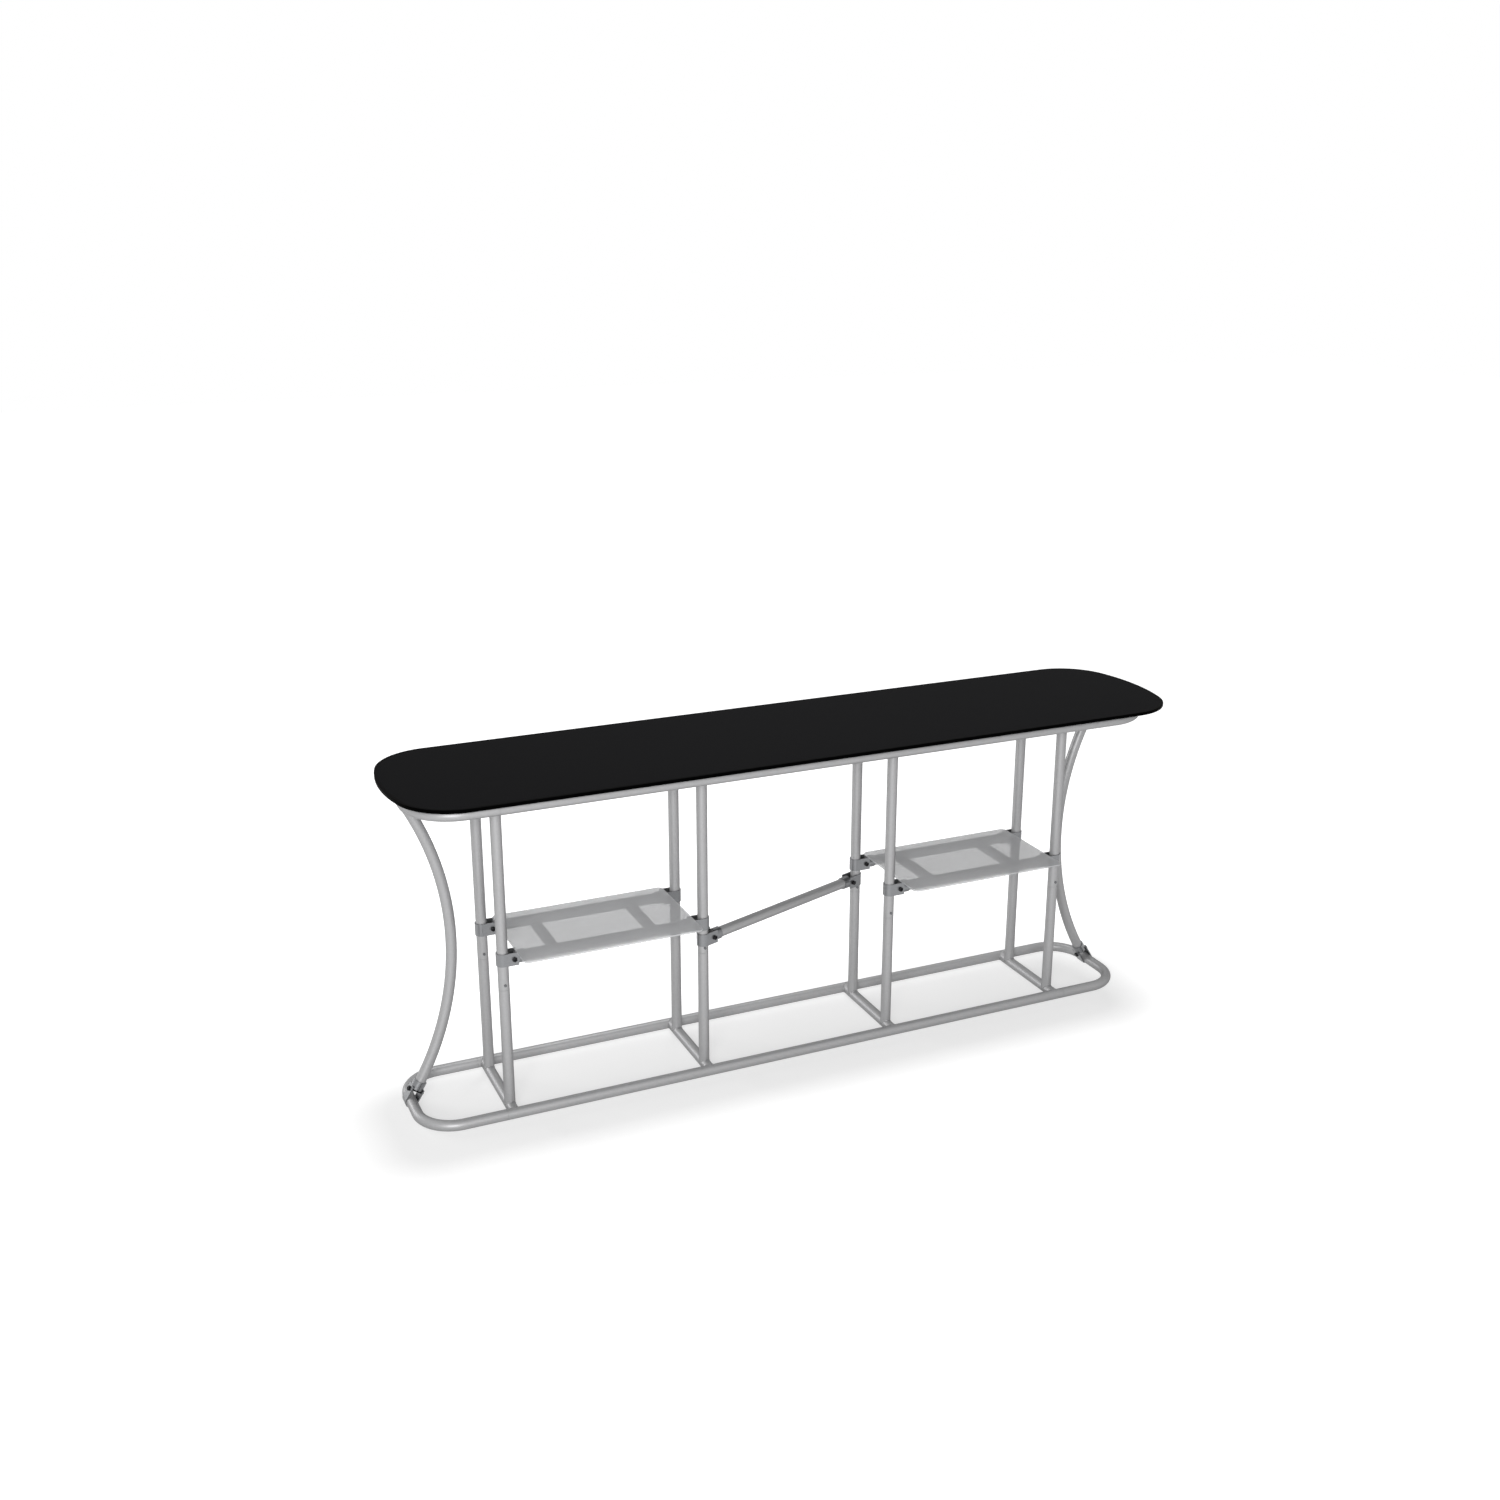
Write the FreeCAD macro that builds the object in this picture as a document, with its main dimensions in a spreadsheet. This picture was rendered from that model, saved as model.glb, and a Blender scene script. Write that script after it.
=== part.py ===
"""Information counter: a tube frame with two shelves under a long black board.

Millimetres, +Z up. The origin is on the floor under the middle of the board. +X runs along the
counter to the right, -Y is the side that the snap buttons and the deep edges of the shelves face.
"""
import FreeCAD, Part
import math
import os
import Sketcher

doc = FreeCAD.newDocument("information_counter")
sizes = doc.addObject("Spreadsheet::Sheet", "sizes")

DRIVING_SIZES = (
    ("tube_diameter", 32.0, "outside diameter of every tube"),
    ("tube_wall", 1.5, "wall of every tube"),
    ("counter_height", 1000.0, "floor to the upper face of the board"),
    ("board_length", 2490.0, "board, end to end"),
    ("board_width", 560.0, "board, front to back"),
    ("board_thickness", 10.0, "board"),
    ("board_end_radius", 600.0, "bowed ends of the board"),
    ("board_corner_radius", 170.0, "corners of the board in plan"),
    ("board_edge_round", 2.0, "eased edges of the board"),
    ("board_seat_gap", 0.3, "board above the tubes of the top ring"),
    ("board_shift", 35.0, "board's middle lies this far to the right of the frame's middle"),
    ("board_end_overhang", 62.5, "board beyond the ends of the top ring, with the board centred"),
    ("board_side_overhang", 19.5, "board beyond the long sides of the top ring"),
    ("base_ring_width", 331.0, "base ring, rail to rail, on the tube axes"),
    ("base_bend_radius", 110.0, "corners of the base ring, on the tube axis"),
    ("top_bend_radius", 136.0, "corners of the top ring, on the tube axis"),
    ("ring_seam_offset", 24.0, "outer post axis to the seams of the top ring"),
    ("base_leg_length", 123.6678, "base ring seam to the bend; sets it in line with the top seam"),
    ("ring_seam_gap", 0.6, "open line between a rail and a bent end"),
    ("outer_post_inset", 244.5, "end of the top ring, on its axis, to the outer post axes"),
    ("inner_post_distance", 313.0, "frame's middle to the inner post axes"),
    ("post_depth", 226.0, "front post axis to back post axis"),
    ("post_seam_height", 386.0, "floor to the lower end of the upper posts"),
    ("post_seam_gap", 0.6, "open line between a lower and an upper post"),
    ("swage_length", 60.0, "narrowed end of a lower post inside the upper post"),
    ("swage_neck", 6.0, "taper that narrows the lower post below its seam"),
    ("socket_clearance", 0.1, "radial play of a tube inside another, and of a coped end"),
    ("button_height", 403.0, "floor to the axis of the snap buttons"),
    ("button_diameter", 8.0, "snap button"),
    ("button_clearance", 0.06, "radial play of a snap button in its holes"),
    ("button_proud", 3.0, "snap button outside the post"),
    ("spring_thickness", 0.8, "leaf behind a snap button"),
    ("spring_width", 7.0, "leaf behind a snap button"),
    ("spring_length", 30.0, "leaf behind a snap button"),
    ("shelf_height", 480.0, "floor to the axes of the shelf rails"),
    ("shelf_bar_spacing", 300.0, "between the axes of a shelf's two cross bars"),
    ("sheet_thickness", 5.0, "acrylic shelf sheet"),
    ("sheet_post_gap", 36.0, "post axis to the near edge of a sheet"),
    ("sheet_front_overhang", 99.0, "front rail axis to the front edge of a sheet"),
    ("sheet_back_overhang", 21.0, "back rail axis to the back edge of a sheet"),
    ("sheet_corner_radius", 16.0, "corners of a sheet"),
    ("sheet_seat_gap", 0.3, "sheet above the clamps that carry it"),
    ("brace_height", 428.0, "floor to the axis of the diagonal brace"),
    ("clamp_wall", 3.0, "wall of a clamp jaw"),
    ("clamp_height", 38.0, "clamp along the tube that it holds all round"),
    ("clamp_reach", 63.0, "axis of that tube to the far end of the clamp"),
    ("clamp_collar_length", 26.0, "part of a clamp that grips the end of the other tube"),
    ("clamp_split", 2.0, "slit between the two jaws"),
    ("clamp_clearance", 0.1, "radial play between jaw and tube"),
    ("strut_grip_clearance", 0.6, "radial play round the curved end of a strut"),
    ("clamp_bolt_distance", 30.0, "axis of the tube held all round to the bolt"),
    ("clamp_edge_round", 0.8, "eased outer edges of a jaw"),
    ("tube_end_distance", 36.0, "axis of the tube held all round to the end of the other tube"),
    ("bolt_diameter", 8.0, "clamp bolt"),
    ("bolt_head_width", 13.0, "clamp bolt head and nut, across flats"),
    ("bolt_head_height", 5.0, "clamp bolt head"),
    ("nut_height", 6.5, "clamp nut"),
    ("bolt_clearance", 0.2, "radial play of a clamp bolt in the jaws"),
    ("strut_radius", 880.0, "bow of an end strut, on its axis"),
    ("strut_waist_height", 505.0, "floor to the narrowest part of the end struts"),
    ("strut_offset", 34.0, "end struts behind the counter's middle plane"),
    ("floor_clearance", 3.0, "floor to the trimmed underside of a strut clamp"),
    ("spigot_length", 120.0, "joining sleeve inside a ring seam"),
    ("spigot_wall", 2.0, "joining sleeve"),
    ("block_length", 60.0, "locating block under the board"),
    ("block_width", 18.0, "locating block under the board"),
    ("block_height", 14.0, "locating block under the board"),
    ("block_gap", 0.5, "locating block to the top rail"),
    ("block_edge_round", 3.0, "upright edges of a locating block"),
    ("block_spacing", 617.0, "between locating blocks along the board"),
    ("screw_diameter", 4.0, "wood screw in a locating block"),
    ("screw_head_diameter", 8.0, "wood screw in a locating block"),
    ("screw_spacing", 36.0, "between the two screws of a locating block"),
    ("screw_depth", 6.0, "screw inside the board"),
)
for row, (alias, number, meaning) in enumerate(DRIVING_SIZES, start=1):
    sizes.set(f"A{row}", meaning)
    sizes.set(f"B{row}", str(number))
    sizes.setAlias(f"B{row}", alias)
doc.recompute()

# Sizes that follow from the driving ones, as expressions
TUBE_R = "sizes.tube_diameter / 2"
BORE_R = "(sizes.tube_diameter / 2 - sizes.tube_wall)"
SPIGOT_R = f"({BORE_R} - sizes.socket_clearance)"
COPE_R = f"({TUBE_R} + sizes.socket_clearance)"
FRAME_X = "-sizes.board_shift"
BASE_Z = TUBE_R
TOP_Z = f"(sizes.counter_height - sizes.board_thickness - sizes.board_seat_gap - {TUBE_R})"
BOARD_UNDER = "(sizes.counter_height - sizes.board_thickness)"
BASE_Y = "sizes.base_ring_width / 2"
TOP_Y = "((sizes.board_width - sizes.tube_diameter) / 2 - sizes.board_side_overhang)"
TOP_END = "((sizes.board_length - sizes.tube_diameter) / 2 - sizes.board_end_overhang)"
STRUT_FALL = f"(sizes.strut_waist_height - {BASE_Z})"
STRUT_RISE = f"({TOP_Z} - sizes.strut_waist_height)"
STRUT_CENTRE = f"({TOP_END} + sqrt(sizes.strut_radius ^ 2 - {STRUT_RISE} ^ 2))"
BASE_END = f"({STRUT_CENTRE} - sqrt(sizes.strut_radius ^ 2 - {STRUT_FALL} ^ 2))"
OUTER_POST = f"({TOP_END} - sizes.outer_post_inset)"
POST_Y = "sizes.post_depth / 2"
TOP_SEAM = f"({OUTER_POST} + sizes.ring_seam_offset)"
BASE_SEAM = f"({BASE_END} - sizes.base_bend_radius - sizes.base_leg_length)"
JAW_BORE = f"({TUBE_R} + sizes.clamp_clearance)"
JAW_OUTER = f"({JAW_BORE} + sizes.clamp_wall)"
SHEET_Z = f"(sizes.shelf_height + max(sizes.clamp_height / 2; {JAW_OUTER}) + sizes.sheet_seat_gap)"
POST_X = (
    f"({FRAME_X} - {OUTER_POST})",
    f"({FRAME_X} - sizes.inner_post_distance)",
    f"({FRAME_X} + sizes.inner_post_distance)",
    f"({FRAME_X} + {OUTER_POST})",
)
SIDES = (("front", -1), ("back", 1))
ALONG_X = FreeCAD.Rotation(FreeCAD.Vector(0, 1, 0), 90)
UPRIGHT = FreeCAD.Rotation()
SEAM_BACK = FreeCAD.Rotation(FreeCAD.Vector(0, 0, 1), 90)
ALONG_Y = FreeCAD.Rotation(FreeCAD.Vector(1, 0, 0), -90) * SEAM_BACK
nodes = {}


def number(expression):
    """The present value of an expression."""
    return float(sizes.evalExpression(expression))


def add(kind, name, rotation=None, at=None, **bound):
    """A document object whose sizes and place are bound to expressions."""
    item = doc.addObject(kind, name)
    if rotation is not None:
        item.Placement = FreeCAD.Placement(FreeCAD.Vector(), rotation)
    for axis, expression in zip("xyz", at or ()):
        item.setExpression(f"Placement.Base.{axis}", expression)
    for prop, expression in bound.items():
        item.setExpression(prop, expression)
    return item


def rod(name, rotation, at, radius, length):
    return add("Part::Cylinder", name, rotation, at, Radius=radius, Height=length)


def cut(name, base, tool):
    item = doc.addObject("Part::Cut", name)
    item.Base = base
    item.Tool = tool
    return item


def fuse(name, pieces):
    item = doc.addObject("Part::MultiFuse", name)
    item.Shapes = pieces
    return item


def group(name, pieces):
    item = doc.addObject("Part::Compound", name)
    item.Links = pieces
    return item


def tube(name, rotation, at, length):
    outside = rod(f"{name}_outside", rotation, at, TUBE_R, length)
    bore = rod(f"{name}_bore", rotation, at, BORE_R, length)
    return cut(f"{name}_tube", outside, bore)


def keep(label, item):
    """Names a finished sub-part: its label is its file's name."""
    item.Label = label
    nodes[label] = item


def origin_plane(body, role):
    return next(plane for plane in body.Origin.OriginFeatures if plane.Role == role)


def sketch_on(body, name, role, offset=None):
    sketch = body.newObject("Sketcher::SketchObject", name)
    sketch.AttachmentSupport = [(origin_plane(body, role), "")]
    sketch.MapMode = "FlatFace"
    if offset:
        sketch.setExpression("AttachmentOffset.Base.z", offset)
    return sketch


def pin_point(sketch, geometry, position, point):
    """Ties a point of the sketch to two expressions measured from the sketch's origin."""
    for kind, expression in zip(("DistanceX", "DistanceY"), point):
        index = sketch.addConstraint(
            Sketcher.Constraint(kind, -1, 1, geometry, position, number(expression)))
        sketch.setExpression(f"Constraints[{index}]", expression)


def arc_through(start, end, radius, turn):
    """A minor arc from start to end; turn is 1 for counter-clockwise."""
    a = FreeCAD.Vector(*start, 0)
    b = FreeCAD.Vector(*end, 0)
    chord = b - a
    half = chord.Length / 2
    rise = math.sqrt(max(radius ** 2 - half ** 2, 0.0))
    side = FreeCAD.Vector(-chord.y, chord.x, 0).normalize()
    centre = (a + b) * 0.5 + side * (rise * turn)
    first, last = (a, b) if turn > 0 else (b, a)
    angles = [math.atan2(p.y - centre.y, p.x - centre.x) for p in (first, last)]
    if angles[1] < angles[0]:
        angles[1] += 2 * math.pi
    circle = Part.Circle(centre, FreeCAD.Vector(0, 0, 1), radius)
    return Part.ArcOfCircle(circle, angles[0], angles[1])


def draw(sketch, points, arcs=None, closed=True):
    """Lines and arcs through points; arcs maps a segment's number to (radius, turn)."""
    arcs = arcs or {}
    at = [(number(x), number(y)) for x, y in points]
    count = len(points) if closed else len(points) - 1
    ends = []
    for k in range(count):
        start, end = at[k], at[(k + 1) % len(at)]
        if k in arcs:
            radius, turn = arcs[k]
            index = sketch.addGeometry(arc_through(start, end, number(radius), turn))
            ends.append((1, 2) if turn > 0 else (2, 1))
        else:
            line = Part.LineSegment(FreeCAD.Vector(*start, 0), FreeCAD.Vector(*end, 0))
            index = sketch.addGeometry(line)
            ends.append((1, 2))
    for k in range(count):
        pin_point(sketch, k, ends[k][0], points[k])
        if closed or k + 1 < count:
            following = (k + 1) % count
            sketch.addConstraint(
                Sketcher.Constraint("Coincident", k, ends[k][1], following, ends[following][0]))
        else:
            pin_point(sketch, k, ends[k][1], points[k + 1])
        if k in arcs:
            index = sketch.addConstraint(Sketcher.Constraint("Radius", k, number(arcs[k][0])))
            sketch.setExpression(f"Constraints[{index}]", arcs[k][0])


def draw_circle(sketch, centre, radius):
    at = FreeCAD.Vector(number(centre[0]), number(centre[1]), 0)
    circle = Part.Circle(at, FreeCAD.Vector(0, 0, 1), number(radius))
    geometry = sketch.addGeometry(circle)
    pin_point(sketch, geometry, 3, centre)
    index = sketch.addConstraint(Sketcher.Constraint("Radius", geometry, number(radius)))
    sketch.setExpression(f"Constraints[{index}]", radius)


def pad(body, name, sketch, length, midplane=False, backwards=False):
    feature = body.newObject("PartDesign::Pad", name)
    feature.Profile = sketch
    feature.setExpression("Length", length)
    feature.Midplane = midplane
    feature.Reversed = backwards
    return feature


def new_body(name, rotation=None, at=None):
    return add("PartDesign::Body", name, rotation, at)


def ring_end(name, sign, seam_x, half_length, half_width, bend_radius, height):
    """One bent end of a ring: two legs, two bends and the end tube, as one pipe."""
    body = new_body(name, UPRIGHT, (FRAME_X, "0", height))
    seam = f"{sign} * ({seam_x} + sizes.ring_seam_gap / 2)"
    end = f"{sign} * {half_length}"
    bend = f"{sign} * ({half_length} - sizes.{bend_radius})"
    inner = f"({half_width} - sizes.{bend_radius})"
    points = [(seam, f"-{half_width}"), (bend, f"-{half_width}"), (end, f"-{inner}"),
              (end, inner), (bend, half_width), (seam, half_width)]
    path = sketch_on(body, f"{name}_path", "XY_Plane")
    turn = f"sizes.{bend_radius}"
    draw(path, points, {1: (turn, sign), 3: (turn, sign)}, closed=False)
    section = sketch_on(body, f"{name}_section", "YZ_Plane", seam)
    for radius in (TUBE_R, BORE_R):
        draw_circle(section, (f"-{half_width}", "0"), radius)
    pipe = body.newObject("PartDesign::AdditivePipe", f"{name}_pipe")
    pipe.Profile = section
    pipe.Spine = path
    return body


def make_rings():
    for ring, seam_x, half_length, half_width, bend, height in (
            ("base", BASE_SEAM, BASE_END, BASE_Y, "base_bend_radius", BASE_Z),
            ("top", TOP_SEAM, TOP_END, TOP_Y, "top_bend_radius", TOP_Z)):
        half_rail = f"({seam_x} - sizes.ring_seam_gap / 2)"
        for side, sign in SIDES:
            start = (f"{FRAME_X} - {half_rail}", f"{sign} * {half_width}", height)
            keep(f"{ring}_rail_{side}", tube(f"{ring}_{side}", ALONG_X, start, f"2 * {half_rail}"))
        for end, sign in (("left", -1), ("right", 1)):
            body = ring_end(f"{ring}_{end}", sign, seam_x, half_length, half_width, bend, height)
            keep(f"{ring}_end_{end}", body)


def make_ring_spigots():
    """Sleeves inside the eight seams of the rings."""
    sleeves = []
    for ring, seam_x, half_width, height in (("base", BASE_SEAM, BASE_Y, BASE_Z),
                                             ("top", TOP_SEAM, TOP_Y, TOP_Z)):
        for side, sign in SIDES:
            for end, way in (("left", -1), ("right", 1)):
                name = f"spigot_{ring}_{side}_{end}"
                start = (f"{FRAME_X} + {way} * {seam_x} - sizes.spigot_length / 2",
                         f"{sign} * {half_width}", height)
                outside = rod(f"{name}_outside", ALONG_X, start, SPIGOT_R, "sizes.spigot_length")
                bore = rod(f"{name}_bore", ALONG_X, start, f"{SPIGOT_R} - sizes.spigot_wall",
                           "sizes.spigot_length")
                sleeves.append(cut(name, outside, bore))
    keep("ring_spigots", group("spigot_group", sleeves))


def cross_tube(name, x, half_width, height):
    """A tube between two rails, coped to fit round them."""
    whole = tube(name, ALONG_Y, (x, f"-{half_width}", height), f"2 * {half_width}")
    cutters = []
    for side, sign in SIDES:
        start = (f"{x} - sizes.tube_diameter", f"{sign} * {half_width}", height)
        cutters.append(rod(f"{name}_cope_{side}", ALONG_X, start, COPE_R, "2 * sizes.tube_diameter"))
    return cut(f"{name}_coped", whole, fuse(f"{name}_copes", cutters))


def button_hole(name, x, y):
    """A hole through the front wall of a post, for its snap button."""
    start = (x, f"{y} - sizes.tube_diameter", "sizes.button_height")
    return rod(name, ALONG_Y, start, "sizes.button_diameter / 2 + sizes.button_clearance",
               "sizes.tube_diameter")


def lower_post(name, x, y):
    """A post whose upper end is swaged down to slide into the upper post."""
    shoulder = "sizes.post_seam_height"
    neck = f"({shoulder} - sizes.swage_neck)"
    tip_height = f"({shoulder} + sizes.swage_length - {BASE_Z})"
    narrow_bore = f"({SPIGOT_R} - sizes.tube_wall)"
    foot = (x, y, BASE_Z)
    outside = fuse(f"{name}_outside", [
        rod(f"{name}_wide", SEAM_BACK, foot, TUBE_R, f"{shoulder} - {BASE_Z}"),
        rod(f"{name}_narrow", SEAM_BACK, foot, SPIGOT_R, tip_height)])
    bore = fuse(f"{name}_bore", [
        rod(f"{name}_wide_bore", SEAM_BACK, foot, BORE_R, f"{neck} - {BASE_Z}"),
        add("Part::Cone", f"{name}_taper", SEAM_BACK, (x, y, neck), Radius1=BORE_R, Radius2=narrow_bore,
            Height="sizes.swage_neck"),
        rod(f"{name}_narrow_bore", SEAM_BACK, foot, narrow_bore, tip_height)])
    return cut(f"{name}_post", outside, bore)


def make_lower_frames():
    """Base cross tube with two lower posts welded on it."""
    for k, x in enumerate(POST_X, start=1):
        name = f"lower_{k}"
        pieces = [cross_tube(f"{name}_cross", x, BASE_Y, BASE_Z)]
        saddle = rod(f"{name}_saddle", ALONG_Y, (x, f"-{BASE_Y}", BASE_Z), TUBE_R, f"2 * {BASE_Y}")
        for side, sign in SIDES:
            y = f"{sign} * {POST_Y}"
            post = lower_post(f"{name}_{side}", x, y)
            drilled = cut(f"{name}_{side}_drilled", post, button_hole(f"{name}_{side}_hole", x, y))
            pieces.append(cut(f"{name}_{side}_coped", drilled, saddle))
        keep(f"lower_frame_{k}", fuse(f"{name}_frame", pieces))


def make_upper_frames():
    """Top cross tube with two upper posts welded under it."""
    lower_end = "(sizes.post_seam_height + sizes.post_seam_gap)"
    for k, x in enumerate(POST_X, start=1):
        name = f"upper_{k}"
        pieces = [cross_tube(f"{name}_cross", x, TOP_Y, TOP_Z)]
        saddle = rod(f"{name}_saddle", ALONG_Y, (x, f"-{TOP_Y}", TOP_Z), TUBE_R, f"2 * {TOP_Y}")
        for side, sign in SIDES:
            y = f"{sign} * {POST_Y}"
            post = tube(f"{name}_{side}", SEAM_BACK, (x, y, lower_end), f"{TOP_Z} - {lower_end}")
            drilled = cut(f"{name}_{side}_drilled", post, button_hole(f"{name}_{side}_hole", x, y))
            pieces.append(cut(f"{name}_{side}_coped", drilled, saddle))
        keep(f"upper_frame_{k}", fuse(f"{name}_frame", pieces))


def make_snap_buttons():
    """A domed button on a spring leaf that lies along the inside of the swaged end."""
    tip = f"({TUBE_R} + sizes.button_proud)"
    seat = f"({SPIGOT_R} - sizes.tube_wall - sizes.spring_thickness)"
    leaf_y = f"sqrt({seat} ^ 2 - (sizes.spring_width / 2) ^ 2)"
    for k, x in enumerate(POST_X, start=1):
        for side, sign in SIDES:
            name = f"button_{side}_{k}"
            y = f"{sign} * {POST_Y}"
            stem = rod(f"{name}_stem", ALONG_Y, (x, f"{y} - {tip}", "sizes.button_height"),
                       "sizes.button_diameter / 2", f"{tip} - {leaf_y} + sizes.spring_thickness / 2")
            dome = add("Part::Fillet", f"{name}_dome")
            dome.Base = stem
            dome.Edges = [(3, number("sizes.button_diameter / 4"), number("sizes.button_diameter / 4"))]
            leaf = add("Part::Box", f"{name}_leaf", UPRIGHT,
                       (f"{x} - sizes.spring_width / 2", f"{y} - {leaf_y}",
                        "sizes.button_height - sizes.button_diameter / 2"),
                       Length="sizes.spring_width", Width="sizes.spring_thickness",
                       Height="sizes.spring_length")
            keep(f"snap_{name}", fuse(f"{name}_clip", [dome, leaf]))


def jaw(name, placement, collar_play):
    """Half of a tube clamp: a half sleeve, a flat cheek with a bolt hole, and a half collar."""
    body = new_body(name)
    body.Placement = placement
    slit = "-sizes.clamp_split / 2"
    cheek_end = "(sizes.clamp_reach - sizes.clamp_collar_length + 2 * sizes.clamp_wall)"
    outer_start = f"-sqrt({JAW_OUTER} ^ 2 - (sizes.clamp_split / 2) ^ 2)"
    inner_start = f"-sqrt({JAW_BORE} ^ 2 - (sizes.clamp_split / 2) ^ 2)"
    strap = sketch_on(body, f"{name}_strap_plan", "XY_Plane")
    draw(strap, [(outer_start, slit), ("0", f"-{JAW_OUTER}"), (cheek_end, f"-{JAW_OUTER}"),
                 (cheek_end, f"-{JAW_BORE}"), ("0", f"-{JAW_BORE}"), (inner_start, slit)],
         {0: (JAW_OUTER, 1), 4: (JAW_BORE, -1)})
    pad(body, f"{name}_strap", strap, "sizes.clamp_height", midplane=True)
    collar = sketch_on(body, f"{name}_collar_section", "YZ_Plane",
                       "sizes.clamp_reach - sizes.clamp_collar_length")
    bore = f"({TUBE_R} + {collar_play})"
    outer = f"({bore} + sizes.clamp_wall)"
    outer_rise = f"sqrt({outer} ^ 2 - (sizes.clamp_split / 2) ^ 2)"
    inner_rise = f"sqrt({bore} ^ 2 - (sizes.clamp_split / 2) ^ 2)"
    draw(collar, [(slit, outer_rise), (f"-{outer}", "0"), (slit, f"-{outer_rise}"),
                  (slit, f"-{inner_rise}"), (f"-{bore}", "0"), (slit, inner_rise)],
         {0: (outer, 1), 1: (outer, 1), 3: (bore, -1), 4: (bore, -1)})
    pad(body, f"{name}_collar", collar, "sizes.clamp_collar_length")
    hole = sketch_on(body, f"{name}_hole_plan", "XZ_Plane")
    draw_circle(hole, ("sizes.clamp_bolt_distance", "0"),
                "sizes.bolt_diameter / 2 + sizes.bolt_clearance")
    pocket = body.newObject("PartDesign::Pocket", f"{name}_hole")
    pocket.Profile = hole
    pocket.Type = "ThroughAll"
    pocket.Midplane = True
    return body


def clamp_bolt(name, placement):
    """A hexagon bolt across a clamp, its head on the first jaw."""
    grip = number(JAW_OUTER)
    head = add("Part::Prism", f"{name}_head", Circumradius="sizes.bolt_head_width / sqrt(3)",
               Height="sizes.bolt_head_height")
    shank = add("Part::Cylinder", f"{name}_shank", Radius="sizes.bolt_diameter / 2",
                Height=f"2 * {JAW_OUTER} + sizes.nut_height + sizes.bolt_head_height")
    head_height = number("sizes.bolt_head_height")
    start = FreeCAD.Vector(number("sizes.clamp_bolt_distance"), -grip - head_height, 0)
    for piece in (head, shank):
        piece.Placement = placement * FreeCAD.Placement(start, ALONG_Y)
    return fuse(f"{name}_bolt", [head, shank])


def clamp_nut(name, placement):
    nut = add("Part::Prism", f"{name}_blank", Circumradius="sizes.bolt_head_width / sqrt(3)",
              Height="sizes.nut_height")
    bore = add("Part::Cylinder", f"{name}_bore", Radius="sizes.bolt_diameter / 2",
               Height="sizes.nut_height")
    start = FreeCAD.Vector(number("sizes.clamp_bolt_distance"), number(JAW_OUTER), 0)
    for piece in (nut, bore):
        piece.Placement = placement * FreeCAD.Placement(start, ALONG_Y)
    return cut(f"{name}_nut", nut, bore)


def clamp_places():
    """Each clamp's name and placement: local Z along the tube held all round, X along the other."""
    places = []
    shelf_z = number("sizes.shelf_height")
    depth = number(POST_Y)
    post_x = [number(x) for x in POST_X]
    toward_right = FreeCAD.Rotation()
    toward_left = FreeCAD.Rotation(FreeCAD.Vector(0, 0, 1), 180)
    for shelf, first, last in (("left", 0, 1), ("right", 2, 3)):
        for side, sign in SIDES:
            for end, post, turn in (("a", first, toward_right), ("b", last, toward_left)):
                at = FreeCAD.Vector(post_x[post], sign * depth, shelf_z)
                places.append((f"shelf_clamp_{shelf}_{side}_{end}", FreeCAD.Placement(at, turn)))
    brace_z = number("sizes.brace_height")
    angle = number("atan2(sizes.post_depth; 2 * sizes.inner_post_distance)")
    for end, post, sign, turn in (("front", 1, -1, angle), ("back", 2, 1, angle + 180)):
        at = FreeCAD.Vector(post_x[post], sign * depth, brace_z)
        turned = FreeCAD.Rotation(FreeCAD.Vector(0, 0, 1), turn)
        places.append((f"brace_clamp_{end}", FreeCAD.Placement(at, turned)))
    lean = strut_lean()
    for end, sign in (("left", -1), ("right", 1)):
        at = FreeCAD.Vector(number(f"{FRAME_X} + {sign} * {BASE_END}"), number("sizes.strut_offset"),
                            number(BASE_Z))
        along = FreeCAD.Vector(-sign * math.sin(lean), 0, math.cos(lean))
        ring_axis = FreeCAD.Vector(0, -sign, 0)
        turned = FreeCAD.Rotation(along, ring_axis.cross(along), ring_axis, "XZY")
        places.append((f"strut_clamp_{end}", FreeCAD.Placement(at, turned)))
    return places


def make_clamps():
    """Twelve two-jaw clamps with their bolts and nuts."""
    over = FreeCAD.Placement(FreeCAD.Vector(), FreeCAD.Rotation(FreeCAD.Vector(1, 0, 0), 180))
    bolts = []
    nuts = []
    for name, placement in clamp_places():
        play = "sizes.strut_grip_clearance" if name.startswith("strut") else "sizes.clamp_clearance"
        jaws = [jaw(f"{name}_jaw_1", placement, play), jaw(f"{name}_jaw_2", placement * over, play)]
        if name.startswith("strut"):
            jaws = [cut(f"{name}_trimmed_{k}", half, floor_trim(f"{name}_floor_{k}", placement))
                    for k, half in enumerate(jaws, start=1)]
        keep(name, group(f"{name}_pair", jaws))
        bolts.append(clamp_bolt(name, placement))
        nuts.append(clamp_nut(name, placement))
    keep("clamp_bolts", group("clamp_bolt_group", bolts))
    keep("clamp_nuts", group("clamp_nut_group", nuts))


def floor_trim(name, placement):
    """A block whose upper face trims a clamp clear of the floor."""
    reach = number("2 * sizes.clamp_reach")
    block = add("Part::Box", name, Length="4 * sizes.clamp_reach", Width="4 * sizes.clamp_reach",
                Height="sizes.clamp_reach")
    drop = number("sizes.floor_clearance - sizes.clamp_reach")
    block.Placement.Base = FreeCAD.Vector(placement.Base.x - reach, placement.Base.y - reach, drop)
    return block


def strut_lean():
    """Angle from upright of the line along which a clamp grips an end strut."""
    radius = number("sizes.strut_radius")
    grip = number("sizes.clamp_reach - sizes.clamp_collar_length / 2")
    return math.asin(number(STRUT_FALL) / radius) - grip / radius / 2


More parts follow.
